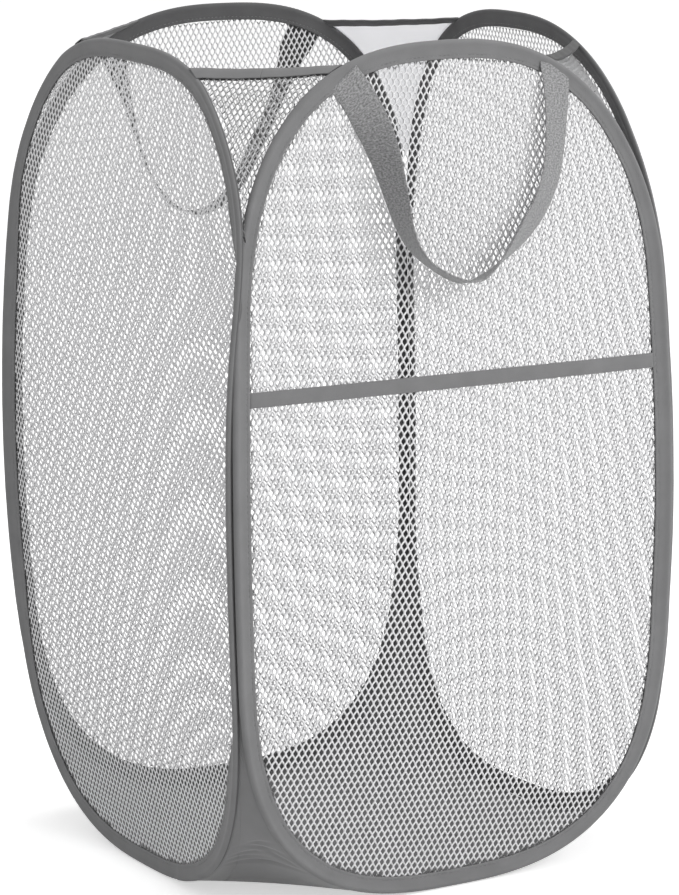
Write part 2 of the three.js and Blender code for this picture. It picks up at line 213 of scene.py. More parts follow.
def insetOf(u, z, line, batch=4000):
    # how far inside the hoop's outer edge each point lies, below zero outside it
    best = np.full(len(u), -1e9)
    edge = np.stack([line["u"], line["z"]], 1)
    inward = np.stack([line["inU"], line["inZ"]], 1)
    for start in range(0, len(u), batch):
        part = slice(start, start + batch)
        gap = np.stack([u[part], z[part]], 1)[:, None] - edge[None]
        nearest = (gap ** 2).sum(2).argmin(1)
        near = np.take_along_axis(gap, nearest[:, None, None], 1)[:, 0]
        best[part] = (near * inward[nearest]).sum(1)
    return best


# meshes

def makePiece(name, points, faces, materials, slots=None, uv=None):
    mesh = bpy.data.meshes.new(name)
    mesh.from_pydata((points * mm).tolist(), [], faces.tolist() if hasattr(faces, "tolist") else faces)
    for material in materials:
        mesh.materials.append(material)
    if slots is not None:
        mesh.polygons.foreach_set("material_index", np.asarray(slots, np.int32))
    if uv is not None:
        layer = mesh.uv_layers.new(name="UVMap")
        corners = np.zeros(len(mesh.loops), np.int32)
        mesh.loops.foreach_get("vertex_index", corners)
        layer.data.foreach_set("uv", uv[corners].astype(np.float32).ravel())
    # a strip's cut ends stay flat
    mesh.polygons.foreach_set("use_smooth", [polygon.loop_total < 5 for polygon in mesh.polygons])
    mesh.update()
    piece = bpy.data.objects.new(name, mesh)
    bpy.context.collection.objects.link(piece)
    return piece


def loopFaces(rings, size, closed=True):
    # quads between neighbouring rings of points, each ring closed on itself, and two ends if the row isn't
    i = np.arange(rings if closed else rings - 1)
    j = np.arange(size)
    here, there = i[:, None] * size, ((i + 1) % rings)[:, None] * size
    k = (j + 1) % size
    quads = np.stack([here + j, there + j, there + k, here + k], 2).reshape(-1, 4).tolist()
    if not closed:
        quads += [list(range(size)), [(rings - 1) * size + n for n in reversed(range(size))]]
    return quads


def flatten(piece):
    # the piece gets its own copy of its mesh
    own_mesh(piece)


# materials

def newMaterial(name, color, roughness):
    material = bpy.data.materials.new(name)
    material.use_nodes = True
    tree = material.node_tree
    shader = tree.nodes["Principled BSDF"]
    shader.inputs["Base Color"].default_value = (*color, 1)
    shader.inputs["Roughness"].default_value = roughness
    return material, tree, shader


def noiseNode(tree, scale, detail=3.0, roughness=0.5, stretch=(1, 1, 1), source="Object"):
    place = tree.nodes.new("ShaderNodeTexCoord")
    mapping = tree.nodes.new("ShaderNodeMapping")
    mapping.inputs["Scale"].default_value = stretch
    pattern = tree.nodes.new("ShaderNodeTexNoise")
    pattern.inputs["Scale"].default_value = scale
    pattern.inputs["Detail"].default_value = detail
    pattern.inputs["Roughness"].default_value = roughness
    tree.links.new(place.outputs[source], mapping.inputs["Vector"])
    tree.links.new(mapping.outputs["Vector"], pattern.inputs["Vector"])
    return pattern


def mixColors(tree, factor, dark, light, low=0.3, high=0.7):
    ramp = tree.nodes.new("ShaderNodeValToRGB")
    ramp.color_ramp.elements[0].position = low
    ramp.color_ramp.elements[1].position = high
    ramp.color_ramp.elements[0].color = (*dark, 1)
    ramp.color_ramp.elements[1].color = (*light, 1)
    tree.links.new(factor, ramp.inputs["Fac"])
    return ramp.outputs["Color"]


def addBump(tree, shader, height, distance, strength=1.0):
    bump = tree.nodes.new("ShaderNodeBump")
    bump.inputs["Distance"].default_value = distance
    bump.inputs["Strength"].default_value = strength
    tree.links.new(height, bump.inputs["Height"])
    tree.links.new(bump.outputs["Normal"], shader.inputs["Normal"])


def grey(value):
    # a grey by its sRGB level, a little cool as all the hamper's cloth is
    level = (value / 255 + 0.055) / 1.055
    tone = level ** 2.4
    return (tone, tone, tone * 1.015)


def clothMaterial(name, level, spread, roughness, weave=1400.0, depth=0.0002):
    # patches a little darker and lighter than the level, and the weave as a fine bump
    material, tree, shader = newMaterial(name, grey(level), roughness)
    patches = noiseNode(tree, 38.0, 4.0, 0.6)
    color = mixColors(tree, patches.outputs["Fac"], grey(level - spread), grey(level + spread))
    tree.links.new(color, shader.inputs["Base Color"])
    yarn = noiseNode(tree, weave, 2.0, 0.5)
    addBump(tree, shader, yarn.outputs["Fac"], depth, 0.6)
    shader.inputs["Sheen Weight"].default_value = 0.15
    shader.inputs["Sheen Roughness"].default_value = 0.5
    return material


tapeCloth = clothMaterial("tape cloth", 125, 4, 0.85)
# painted shade: the tape's faces that look into the hamper get this darker grey for the shade that falls there
tapeShade = clothMaterial("tape painted shade", 92, 5, 0.9)
# painted shade: a still darker grey for the front right edging, which lies in shade
edgingShade = clothMaterial("edging painted shade", 68, 4, 0.9)
netYarn = clothMaterial("net yarn", 237, 3, 0.75, weave=2600.0, depth=0.0001)
cornerYarn = clothMaterial("corner net yarn", 170, 3, 0.75, weave=2600.0, depth=0.0001)
# the base is given a darker grey on its inner face than on its outer face
baseOutside = clothMaterial("base cloth outside", 122, 4, 0.6)
baseInside = clothMaterial("base cloth inside", 101, 4, 0.75)
sheerCloth = clothMaterial("plain corner cloth", 250, 2, 0.8)
sheerShader = sheerCloth.node_tree.nodes["Principled BSDF"]
sheerShader.inputs["Transmission Weight"].default_value = 0.6  # thin white cloth lets half the light through
sheerShader.inputs["IOR"].default_value = 1.03


def webbingMaterial(name, dark, pale):
    # grey and pale yarns twisted together, in ribs across the strap
    material, tree, shader = newMaterial(name, grey((dark + pale) / 2), 0.85)
    yarns = noiseNode(tree, 900.0, 3.0, 0.65, stretch=(1, 0.55, 1), source="UV")
    color = mixColors(tree, yarns.outputs["Fac"], grey(dark), grey(pale), low=0.34, high=0.68)
    tree.links.new(color, shader.inputs["Base Color"])
    addBump(tree, shader, yarns.outputs["Fac"], 0.0004, 0.8)
    shader.inputs["Sheen Weight"].default_value = 0.15
    return material


webbing = webbingMaterial("webbing", 106, 177)
# painted shade: a darker copy of the webbing for the back handle's face towards the net, which lies in shade
webbingShade = webbingMaterial("webbing painted shade", 52, 92)
threadYarn = clothMaterial("thread", 124, 4, 0.7)
springSteel, _, steelShader = newMaterial("spring steel", grey(165), 0.35)
steelShader.inputs["Metallic"].default_value = 1.0
print("materials made")


# nets: a knitted mesh whose holes stand in staggered rows, with a thick knot on each side of a hole

netShape = {"pitchAcross": 5.2, "pitchDown": 8.2, "yarn": 0.35, "jitter": 0.05, "edge": 12.0,
            "pull": 1.1, "pullAcross": 61, "pullDown": 83}
# a hole's half width, shoulder and tip from its middle; the corner nets hang looser, so theirs are wider
holeShape = {"panel": (1.6, 0.45, 2.7), "front_left": (1.92, 0.58, 3.15), "front_right": (1.75, 0.5, 2.95),
             "back_left": (1.65, 0.47, 2.8)}
# each net was cut and stretched a little differently: its turn in degrees and its stretch across and down
netLay = {"front": (6.4, 1.014, 1.055), "right": (0.0, 0.985, 1.022), "back": (3.5, 0.998, 1.01),
          "left": (3.0, 1.002, 1.006), "front_left": (4.0, 1.0, 1.0), "front_right": (-3.0, 1.0, 1.0),
          "back_left": (0.0, 1.0, 1.0)}


def netSkew(name):
    turn, wide, tall = netLay[name]
    turn = math.radians(turn)
    return ((wide * math.cos(turn), tall * math.sin(turn)), (-wide * math.sin(turn), tall * math.cos(turn)))


def netCells(inside, middle, reachAcross, reachDown, seed, half, skew, hole):
    # cells that the test lets in, each a hole with six corners and six knots round it; half keeps only the
    # faces on one side of the middle line
    shape = netShape
    stepX, stepY = shape["pitchAcross"] / 2, shape["pitchDown"] / 2
    knot = (stepY ** 2 - stepX ** 2) / (2 * stepY)
    columns = int(reachAcross / stepX * 1.3) + 2
    rows = int(reachDown / stepY * 1.15) + 2
    (skewXX, skewXY), (skewYX, skewYY) = skew
    column, row = np.meshgrid(np.arange(-columns, columns + 1), np.arange(-rows, rows + 1))
    column, row = column.ravel(), row.ravel()
    even = (column + row) % 2 == 0
    column, row = column[even], row[even]
    x, y = column * stepX, row * stepY
    kept = inside(skewXX * x + skewXY * y, middle + skewYX * x + skewYY * y)
    column, row, x, y = column[kept], row[kept], x[kept], y[kept]
    # neighbouring cells share their knots, so each knot has one number
    around = [(1, 0, 0), (1, 0, 1), (0, 1, 0), (-1, 0, 1), (-1, 0, 0), (0, -1, 1)]
    wide = 2 * columns + 8
    keys = np.stack([((row + r + rows + 4) * wide + column + c + columns + 4) * 2 + s for c, r, s in around], 1)
    unique, index, count = np.unique(keys, return_inverse=True, return_counts=True)
    index = index.reshape(keys.shape)
    keyColumn = (unique // 2) % wide - columns - 4
    keyRow = (unique // 2) // wide - rows - 4
    knotX = keyColumn * stepX
    knotY = keyRow * stepY + np.where(unique % 2 == 1, knot, -knot)
    rng = np.random.default_rng(seed)
    holeHalf, shoulder, tip = holeShape[hole]
    holeX = np.array([1, 1, 0, -1, -1, 0]) * holeHalf
    holeY = np.array([-1, 1, 0, 1, -1, 0]) * shoulder + np.array([0, 0, 1, 0, 0, -1]) * tip
    scatter = rng.normal(0, shape["jitter"], (2, len(x), 6))
    scatter[0][:, [2, 5]] *= 0 if half else 1
    vertexX = (x[:, None] + holeX + scatter[0]).ravel()
    vertexY = (y[:, None] + holeY + scatter[1]).ravel()
    # knots stand out on both faces, but at the net's edge the faces meet
    edge = count < 3
    crest = np.where(edge, 0.0, shape["yarn"])
    allX = np.concatenate([vertexX, knotX, knotX])
    allY = np.concatenate([vertexY, knotY, knotY])
    allOut = np.concatenate([np.zeros(len(vertexX)), crest, -crest])
    allX, allY = skewXX * allX + skewXY * allY, middle + skewYX * allX + skewYY * allY
    frontIndex = len(vertexX) + index
    backIndex = np.where(edge[index], frontIndex, frontIndex + len(unique))
    holeIndex = np.arange(len(vertexX)).reshape(-1, 6)
    quads = []
    for k in range(6):
        n = (k + 1) % 6
        quads.append(np.stack([holeIndex[:, k], holeIndex[:, n], frontIndex[:, n], frontIndex[:, k]], 1)[:, ::-1])
        quads.append(np.stack([holeIndex[:, k], holeIndex[:, n], backIndex[:, n], backIndex[:, k]], 1))
    quads = np.concatenate(quads)
    if half:
        quads = quads[allX[quads].mean(1) * half > 0]
    used = np.unique(quads)
    renumber = np.zeros(len(allX), int)
    renumber[used] = np.arange(len(used))
    return allX[used], allY[used], allOut[used], renumber[quads]


def panelNet(side):
    name = sideNames[side]
    line = hoopLine(900)
    inside = lambda u, z: insetOf(u, z, line) > netShape["edge"]
    u, z, out, quads = netCells(inside, hoop["height"] / 2, hoop["halfWidth"], hoop["height"] / 2, 10 + side, 0,
                                netSkew(name), "panel")
    # the net is drawn a little unevenly between its sewn edges
    pull = netShape["pull"] * np.sin(u / netShape["pullAcross"] + side)
    pull *= np.sin(z / netShape["pullDown"] + 2 * side)
    piece = makePiece("mesh_" + name, onPanel(side, u, z + pull, out), quads, [netYarn])
    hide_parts("net_" + name)
    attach(piece, bodyOf[name])
    flatten(piece)


# bindings: tape folded round the wire

tape = {"width": 13.2, "thickness": 0.45, "steps": 560,
        "insets": [2.6, 3.6, 4.8, 6.0, 7.4, 9.0, 10.2, 10.7, 11.2, 12.2, 12.9, 13.2],
        "heights": [2.6, 2.36, 1.88, 1.48, 1.24, 1.12, 1.04, 0.86, 1.04, 1.1, 1.0, 0.7],
        "stitchInset": 10.7, "stitchLength": 2.9, "stitchPitch": 3.9,
        "overlapLength": 22, "overlapStep": 0.8, "overlapSlant": 0.35,
        "front": 0.93, "right": 0.06, "back": 0.05, "left": 0.035}  # where each tape's ends overlap
puckers = {"waves": 7, "shortest": 1.3, "longest": 6.5, "least": 0.05, "most": 0.34, "straight": 0.35,
           "bendFrom": 130, "bendOver": 12}


def tapeSection():
    bead = hoop["bead"]
    turn = np.radians([68, 45, 22, 0])
    beadIn = bead - bead * np.cos(turn)
    beadOut = bead * np.sin(turn)
    insets = np.concatenate([tape["insets"][::-1], beadIn])
    heights = np.concatenate([tape["heights"][::-1], beadOut])
    outer = [(s, h) for s, h in zip(insets, heights)] + [(s, -h) for s, h in zip(insets[-2::-1], heights[-2::-1])]
    wall = tape["thickness"]
    innerInsets = np.maximum(insets, wall)
    innerHeights = np.maximum(heights - wall, 0)
    innerInsets[0] = insets[0]
    innerHeights[0] = heights[0] * 0.5
    inner = [(s, h) for s, h in zip(innerInsets, innerHeights)]
    inner += [(s, -h) for s, h in zip(innerInsets[-2::-1], innerHeights[-2::-1])]
    return np.array(outer), np.array(inner)


def gathers(along, inset, z, seed):
    # small puckers in the tape, which are deeper where it runs round a bend
    rng = np.random.default_rng(seed)
    rise = np.abs(z - hoop["height"] / 2)
    bend = 1 / (1 + np.exp(-(rise - puckers["bendFrom"]) / puckers["bendOver"]))
    wave = np.zeros_like(along)
    for _ in range(puckers["waves"]):
        wave = wave + np.sin(along / rng.uniform(puckers["shortest"], puckers["longest"]) + rng.uniform(0, 6.28))
    share = np.clip(inset / tape["width"], 0, 1)
    bend = puckers["straight"] + (1 - puckers["straight"]) * bend
    return wave / puckers["waves"] * (puckers["least"] + puckers["most"] * share * bend)


def binding(side):
    name = sideNames[side]
    line = hoopLine(tape["steps"])
    outer, inner = tapeSection()
    section = np.concatenate([outer, inner[::-1]])
    count = len(section)
    u = line["u"][:, None] + line["inU"][:, None] * section[:, 0]
    z = line["z"][:, None] + line["inZ"][:, None] * section[:, 0]
    out = np.broadcast_to(section[:, 1], u.shape).copy()
    along = np.broadcast_to(line["along"][:, None], u.shape)
    inset = np.broadcast_to(section[:, 0], u.shape)
    pucker = gathers(along, inset, z, 40 + side)
    # where the tape's ends overlap it is double, and its cut end shows as a slanting step
    start = tape[name] * line["length"] + inset * tape["overlapSlant"]
    double = np.clip((along - start) / 0.6, 0, 1) * np.clip((start + tape["overlapLength"] - along) / 6, 0, 1)
    outward = np.zeros(u.shape)
    outward[:, : len(outer)] = 1
    out += np.sign(section[:, 1]) * outward * (pucker + tape["overlapStep"] * double)
    points = onPanel(side, u.ravel(), z.ravel(), out.ravel())
    quads = loopFaces(tape["steps"], count)
    # the face that looks into the hamper gets painted shade, a darker grey for the shade inside the hamper
    slots = np.tile(np.where(np.arange(count) < len(outer) // 2, 0, 1), tape["steps"])
    walked = np.cumsum(np.hypot(*np.diff(section, axis=0, prepend=section[:1]).T))
    uv = np.stack([along.ravel() * mm, np.broadcast_to(walked, u.shape).ravel() * mm], 1)
    piece = makePiece("tape_" + name, points, quads, [tapeCloth, tapeShade], slots=slots, uv=uv)
    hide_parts("binding_" + name)
    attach(piece, bodyOf[name])
    flatten(piece)
    stitches(side, line)


def stitches(side, line):
    # a row of short threads along both faces of the tape
    name = sideNames[side]
    total = int(line["length"] / tape["stitchPitch"])
    middle = np.linspace(0, line["length"], total, endpoint=False)
    half = tape["stitchLength"] / 2
    shape = np.array([(-half, 0, 0), (half, 0, 0), (0, -0.3, 0), (0, 0.3, 0), (0, 0, 0.28), (0, 0, -0.2)])
    faces = np.array([(0, 2, 4), (2, 1, 4), (1, 3, 4), (3, 0, 4), (2, 0, 5), (1, 2, 5), (3, 1, 5), (0, 3, 5)])
    pieces, quads = [], []
    for face in (1, -1):
        along = (middle[:, None] + shape[:, 0]) % line["length"]
        inset = tape["stitchInset"] + shape[:, 1] + np.zeros_like(along)
        lift = face * (0.92 + shape[:, 2]) + np.zeros_like(along)
        u, z = (np.interp(along, line["along"], line[key], period=line["length"]) for key in ("u", "z"))
        inU, inZ = (np.interp(along, line["along"], line[key], period=line["length"]) for key in ("inU", "inZ"))
        pieces.append(onPanel(side, (u + inU * inset).ravel(), (z + inZ * inset).ravel(), lift.ravel()))
        order = faces if face > 0 else faces[:, ::-1]
        start = (len(quads) > 0) * total * len(shape)
        quads.append((np.arange(total)[:, None, None] * len(shape) + order + start).reshape(-1, 3))
    piece = makePiece("stitching_" + name, np.concatenate(pieces), np.concatenate(quads), [threadYarn])
    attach(piece, bodyOf[name])
    flatten(piece)


# corners

cornerShape = {"depth": 125.0, "crownHalf": 56, "beyond": 14.0, "sag": 4.0, "tuck": 2.2, "hingeHalf": 60,
               # where each upper edge is sewn to the hoops before and after the corner, from their middles
               "front_left": (111, 102), "front_right": (107, 105), "back_right": (95, 107), "back_left": (97, 104)}
# the front right net is sewn to the inner edge of the right tape
sewnIn = {"front_right": (9, 2.5, -5)}
# width of each corner's edging, in millimetres
edgingWidth = {"front_left": 10.5, "front_right": 7.0, "back_right": 7.5, "back_left": 10.0}


def cornerTable(roundness, start, end, up, extra, reach):
    # profile of a corner in the upright plane through it: length along it, distance from the middle, height,
    # place on the hoops, direction outwards and half width, from one angle of the hoops' end arc to another
    angle = np.linspace(start, end, 300)
    power = 2 / roundness
    arc = hoop["height"] / 2 - hoop["straightHalf"]
    u = hoop["halfWidth"] * np.sin(angle) ** power
    z = hoop["height"] / 2 + up * (hoop["straightHalf"] + arc * np.maximum(np.cos(angle), 0) ** power)
    d = (u + reach) / math.sqrt(2)
    if extra:
        step = np.array([d[-1] - d[-2], z[-1] - z[-2]])
        step /= np.hypot(*step)
        more = np.linspace(0, extra, 12)[1:]
        u = np.concatenate([u, u[-1] + step[0] * more * math.sqrt(2)])
        d, z = np.concatenate([d, d[-1] + step[0] * more]), np.concatenate([z, z[-1] + step[1] * more])
    length = np.concatenate([[0], np.cumsum(np.hypot(np.diff(d), np.diff(z)))])
    out = np.stack([np.gradient(z, length), -np.gradient(d, length)], 1) * up
    out /= np.hypot(*out.T)[:, None]
    return {"length": length, "d": d, "z": z, "u": u, "out": out, "half": reach * math.sqrt(2) - d}


def alongTable(y, table, values):
    return np.interp(y, table["length"], values)


def onCorner(corner, table, x, y, out, sag=0.0, pulled=(0, 0, 0)):
    # a place on a corner's cloth, from its middle line, its length up the corner and how far out it lies
    half = alongTable(y, table, table["half"])
    share = np.clip(1 - (x / np.maximum(half, 1e-3)) ** 2, 0, 1) * (y / table["length"][-1]) ** 2
    y = y - sag * share
    d = alongTable(y, table, table["d"]) + out * alongTable(y, table, table["out"][:, 0])
    z = alongTable(y, table, table["z"]) + out * alongTable(y, table, table["out"][:, 1])
    flat = np.stack([(x - d) / math.sqrt(2), (-x - d) / math.sqrt(2), z], 1)
    flat += np.clip((x / np.maximum(half, 1e-3) + 1) / 2, 0, 1)[:, None] * np.array(pulled)
    if corner == 0:
        # the cloth's left edge goes with the left hoop's shoulder
        weight = np.clip((1 - x / np.maximum(half, 1e-3)) / 2, 0, 1)
        bulge = shoulder(z) * weight
        u = alongTable(y, table, table["u"])
        flat[:, 0] += leftHoop["leanIn"] * bulge
        flat[:, 1] -= leftHoop["frontSpread"] / hoop["halfWidth"] * u * bulge
    return lean(quarterTurn(barrel(flat), corner))


def topTable(reach):
    top = hoop["topRound"]
    arc = hoop["height"] / 2 - hoop["straightHalf"]
    rise = hoop["height"] / 2 - cornerShape["depth"] - hoop["straightHalf"]
    start = math.acos((rise / arc) ** (top / 2))
    end = math.asin((cornerShape["crownHalf"] / hoop["halfWidth"]) ** (top / 2))
    return cornerTable(top, start, end, 1, cornerShape["beyond"], reach)


def topEdge(corner, table, share):
    # length up the corner to its upper edge, from the hoop before it (share -1) to the hoop after it (share 1)
    before, after = (np.interp(-u, -table["u"], table["length"]) for u in cornerShape[cornerNames[corner]])
    return before + (after - before) * (share + 1) / 2 + edgingWidth[cornerNames[corner]]


def bindCorner(piece, corner, half):
    # the front left corner's cloth is split, each half going with its panel; the other corners' cloth keeps its
    # place
    if corner == 0:
        side = 0 if half > 0 else 3
        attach(piece, bodyOf[sideNames[side]])
        flatten(piece)
        return
    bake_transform(piece)


def cornerNet(corner, half=0):
    name = cornerNames[corner]
    table = topTable(clothReach - 0.6)

    def inside(x, y):
        limit = alongTable(y, table, table["half"])
        share = np.clip(x / np.maximum(limit, 1), -1, 1)
        return (y > 1) & (y < topEdge(corner, table, share) - 3) & (np.abs(x) < limit + 1.5)

    x, y, out, quads = netCells(inside, 60, 95, 110, 60 + corner, half, netSkew(name), name)
    y = np.maximum(y, 0)
    limit = alongTable(y, table, table["half"]) + cornerShape["tuck"]
    x = np.clip(x, -limit, limit)
    points = onCorner(corner, table, x, y, out, cornerShape["sag"], sewnIn.get(name, (0, 0, 0)))
    label = "corner_mesh_" + name + ("" if not half else "_a" if half > 0 else "_b")
    piece = makePiece(label, points, quads, [cornerYarn])
    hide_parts("corner_net_" + name)
    bindCorner(piece, corner, half)


def cornerEdging(corner, half=0):
    name = cornerNames[corner]
    table = topTable(clothReach - 0.3)
    width, wall = edgingWidth[name], 0.5
    section = np.array([(width, 1.15), (width - 1, 1.25), (5, 1.2), (1.2, 1.1), (0, 0.45), (0, -0.45),
                        (1.2, -1.1), (5, -1.2), (width - 1, -1.25), (width, -1.15), (width, -1.15 + wall),
                        (3, -1.1 + wall), (1.2, 0), (3, 1.1 - wall), (width, 1.15 - wall)])
    steps = 61
    share = np.linspace(0 if half > 0 else -1, 0 if half < 0 else 1, steps)[:, None]
    y = topEdge(corner, table, share) + 0.8 - section[:, 0]
    x = share * (alongTable(y, table, table["half"]) + np.where((share < 0) & (corner == 0), 6.0, 2.0))
    ripple = 0.25 * np.sin(x / 4.1 + corner) * np.sin(x / 9.7)
    points = onCorner(corner, table, x.ravel(), y.ravel(), (section[:, 1] + ripple).ravel(), cornerShape["sag"])
    label = "edging_" + name + ("" if not half else "_a" if half > 0 else "_b")
    # the front right one gets a still darker painted shade on its outer face, and every edging gets the tape's
    # painted shade on its other faces
    slots = ([2 * (corner == 1)] * 5 + [1] * 10) * (steps - 1) + [0, 0]
    piece = makePiece(label, points, loopFaces(steps, len(section), closed=False),
                      [tapeCloth, tapeShade, edgingShade], slots=slots)
    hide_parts("corner_edging_" + name)
    bindCorner(piece, corner, half)


def cornerCloth(corner):
    name = cornerNames[corner]
    table = topTable(clothReach - 0.6)
    rows, columns = 46, 33
    share = np.tile(np.linspace(-1, 1, columns), rows)
    y = np.repeat(np.linspace(0, 1, rows), columns) * (topEdge(corner, table, share) - 1)
    x = share * (alongTable(y, table, table["half"]) + cornerShape["tuck"])
    ripple = 0.8 * np.sin(x / 17) * np.sin(y / 23) * (1 - share ** 2)
    layers = [onCorner(corner, table, x, y, ripple + side, cornerShape["sag"]) for side in (0.15, -0.15)]
    piece = makePiece("corner_cloth", np.concatenate(layers), shellFaces(rows, columns), [sheerCloth])
    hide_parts("corner_cloth_" + name)
    bindCorner(piece, corner, 0)


def shellFaces(rows, columns):
    # two layers of a grid, joined round the edge
    i, j = np.meshgrid(np.arange(rows - 1), np.arange(columns - 1), indexing="ij")
    a = (i * columns + j).ravel()
    top = np.stack([a, a + 1, a + columns + 1, a + columns], 1)
    size = rows * columns
    bottom = top[:, ::-1] + size
    edge = list(range(columns)) + [r * columns + columns - 1 for r in range(1, rows)]
    edge += [(rows - 1) * columns + c for c in range(columns - 2, -1, -1)]
    edge += [r * columns for r in range(rows - 2, 0, -1)]
    edge = np.array(edge)
    after = np.roll(edge, -1)
    rim = np.stack([edge, edge + size, after + size, after], 1)
    return np.concatenate([top, bottom, rim])


# base

baseShape = {"height": 172.0, "rows": 110, "columns": 36, "foldsFrom": 85, "foldsTo": 138,
             "split": -0.62, "splitOver": 34, "floorRise": 0.8, "drawn": 6.0, "drawnAt": 95, "drawnOver": 38,
             "slack": [1.0, 0.25, 0.25, 0.3]}  # the cloth is slack at the front left and nearly taut elsewhere
# folds of the slack cloth low down at a corner: middle across and up, slope, half length, half width and depth
creases = [(-22, 108, 0.05, 17, 1.9, 2.0), (8, 120, -0.15, 17, 2.3, 2.2), (4, 101, -0.1, 20, 2.1, 2.4),
           (-12, 114, 0.12, 15, 1.9, 1.8), (24, 107, -0.6, 17, 2.5, 2.4), (36, 97, -0.4, 15, 2.5, 2.0),
           (2, 127, 0.22, 10, 2.1, 1.5), (-18, 100, 0.08, 16, 2.1, 1.7), (-30, 119, 0.3, 10, 2.2, 1.2)]


def baseSector(side):
    # the part of the base next to one panel: half of each of its two raised corners, and a quarter of the floor
    table = baseTable()
    rows, columns = baseShape["rows"], baseShape["columns"]
    grids = []
    for corner, sign in ((side, 1), ((side + 1) % 4, -1)):
        # the rows lie closer where the folds are
        heights = [0, baseShape["foldsFrom"], baseShape["foldsTo"], table["length"][-1]]
        y = np.interp(np.linspace(0, 1, rows), [0, 0.2, 0.75, 1], heights)
        # at the front left the seam runs up beside the left hoop
        split = (baseShape["split"] * ease(y / baseShape["splitOver"]) if corner == 0 else 0 * y)[:, None]
        share = split + (sign - split) * np.linspace(0, 1, columns)
        limit = alongTable(y, table, table["half"]) + cornerShape["tuck"] * ease(y / 25)
        x = limit[:, None] * share
        yy = np.repeat(y[:, None], columns, 1)
        fold = baseFolds(x, yy, table, corner)
        points = onCorner(corner, table, x.ravel(), yy.ravel(), fold.ravel())
        grids.append((points, rows, columns, sign > 0))
    s, t = np.meshgrid(np.linspace(0, 1, columns), np.linspace(0, 1, columns), indexing="ij")
    x, y = (t - s) * clothReach / 2, -(s + t) * clothReach / 2
    # the floor lifts here and there, but not at its seams
    free = np.clip(1 - np.maximum(s, t), 0, 0.2) / 0.2
    rise = baseShape["floorRise"] * free * np.maximum(np.sin(x / 31 + side) * np.sin(y / 27 + 2), 0)
    floor = lean(quarterTurn(barrel(np.stack([x, y, rise], 2).reshape(-1, 3)), side))
    grids.append((floor, columns, columns, False))
    return grids


def baseTable():
    bottom = hoop["bottomRound"]
    arc = hoop["height"] / 2 - hoop["straightHalf"]
    rise = hoop["height"] / 2 - baseShape["height"] - hoop["straightHalf"]
    end = math.acos((rise / arc) ** (bottom / 2))
    return cornerTable(bottom, 0, end, -1, 0.0, clothReach)


def baseFolds(x, y, table, corner):
    half = alongTable(y, table, table["half"])
    place = x / np.maximum(half, 1)
    share = np.clip(1 - place ** 2, 0, 1)
    folds = np.zeros_like(x)
    for across, up, slope, long, wide, depth in creases:
        bent = up + slope * (x - across) + 1.2 * np.sin(x / 9 + up)
        folds += depth * np.exp(-((y - bent) / wide) ** 2 - ((x - across) / long) ** 2)
    soft = 0.72 * np.sin(y / 28 + corner) * np.cos(x / 37) * ease(y / 25)
    # between the two feet the cloth is drawn in, more beside the panel before the corner
    near = np.exp(-((y - baseShape["drawnAt"]) / baseShape["drawnOver"]) ** 2) * ease(y / 25)
    drawn = baseShape["drawn"] * near * (1 - 0.5 * place)
    return share * (baseShape["slack"][corner] * folds + drawn + soft)


def basePiece(name, sides):
    # the sectors are merged into one cloth, whose outside faces down, and then it gets its thickness
    points, quads, total = [], [], 0
    for side in sides:
        for grid, rows, columns, flip in baseSector(side):
            i, j = np.meshgrid(np.arange(rows - 1), np.arange(columns - 1), indexing="ij")
            a = (i * columns + j).ravel()
            faces = np.stack([a, a + 1, a + columns + 1, a + columns], 1)
            quads.append((faces[:, ::-1] if flip else faces) + total)
            points.append(grid)
            total += len(grid)
    piece = makePiece(name, np.concatenate(points), np.concatenate(quads), [baseOutside, baseInside])
    select(piece)
    bpy.ops.object.mode_set(mode="EDIT")
    bpy.ops.mesh.select_all(action="SELECT")
    bpy.ops.mesh.remove_doubles(threshold=0.00003)
    bpy.ops.mesh.normals_make_consistent(inside=False)
    bpy.ops.object.mode_set(mode="OBJECT")
    normals = sum((polygon.normal * polygon.area for polygon in piece.data.polygons), Vector())
    if normals.z > 0:
        piece.data.flip_normals()
    solid = piece.modifiers.new("thickness", "SOLIDIFY")
    solid.thickness = 0.0006
    solid.offset = -1
    solid.material_offset = 1
    solid.material_offset_rim = 0
    bpy.ops.object.modifier_apply(modifier=solid.name)
    return piece


def select(piece):
    bpy.ops.object.select_all(action="DESELECT")
    piece.select_set(True)
    bpy.context.view_layer.objects.active = piece


def base():
    # one cloth in three parts, because the hamper folds along the floor's diagonal
    for name, sides in (("base_front", [0]), ("base_left", [3]), ("base_back_right", [1, 2])):
        piece = basePiece(name, sides)
        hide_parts("base_sheet")
        if len(sides) == 1:
            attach(piece, bodyOf[sideNames[sides[0]]])
            flatten(piece)
        else:
            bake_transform(piece)


# tape across the front

frontTape = {"height": 375.0, "width": 10.5, "tilt": -6.0, "inset": 12.4, "steps": 121}


def tapeAcross():
    steps = frontTape["steps"]
    reach = hoop["halfWidth"] - frontTape["inset"]
    share = np.linspace(-1, 1, steps)
    half = frontTape["width"] / 2
    section = np.array([(-half, 0.55), (-half, 1.2), (-half + 0.5, 1.42), (0, 1.46), (half - 0.5, 1.42),
                        (half, 1.2), (half, 0.55)])
    u = np.repeat(share[:, None] * reach, len(section), 1)
    z = frontTape["height"] + frontTape["tilt"] / 2 * share[:, None] + section[:, 0]
    wave = 0.12 * np.sin(u / 5.3) * np.sin(u / 13)
    # its ends are pressed under the binding's edge
    press = np.clip((np.abs(share) - 0.97) / 0.03, 0, 1)[:, None]
    out = section[:, 1] * (1 - 0.45 * press) + wave
    points = onPanel(0, u.ravel(), z.ravel(), out.ravel())
    piece = makePiece("tape_across", points, loopFaces(steps, len(section), closed=False), [tapeCloth])
    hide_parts("front_tape")
    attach(piece, "front_panel")
    flatten(piece)


# handles

def softened(values, width):
    # each value mixed with those near it
    reach = 2 * width
    spread = np.exp(-(np.arange(-reach, reach + 1) / width) ** 2)
    return np.convolve(np.pad(values, reach, mode="edge"), spread / spread.sum(), "valid")


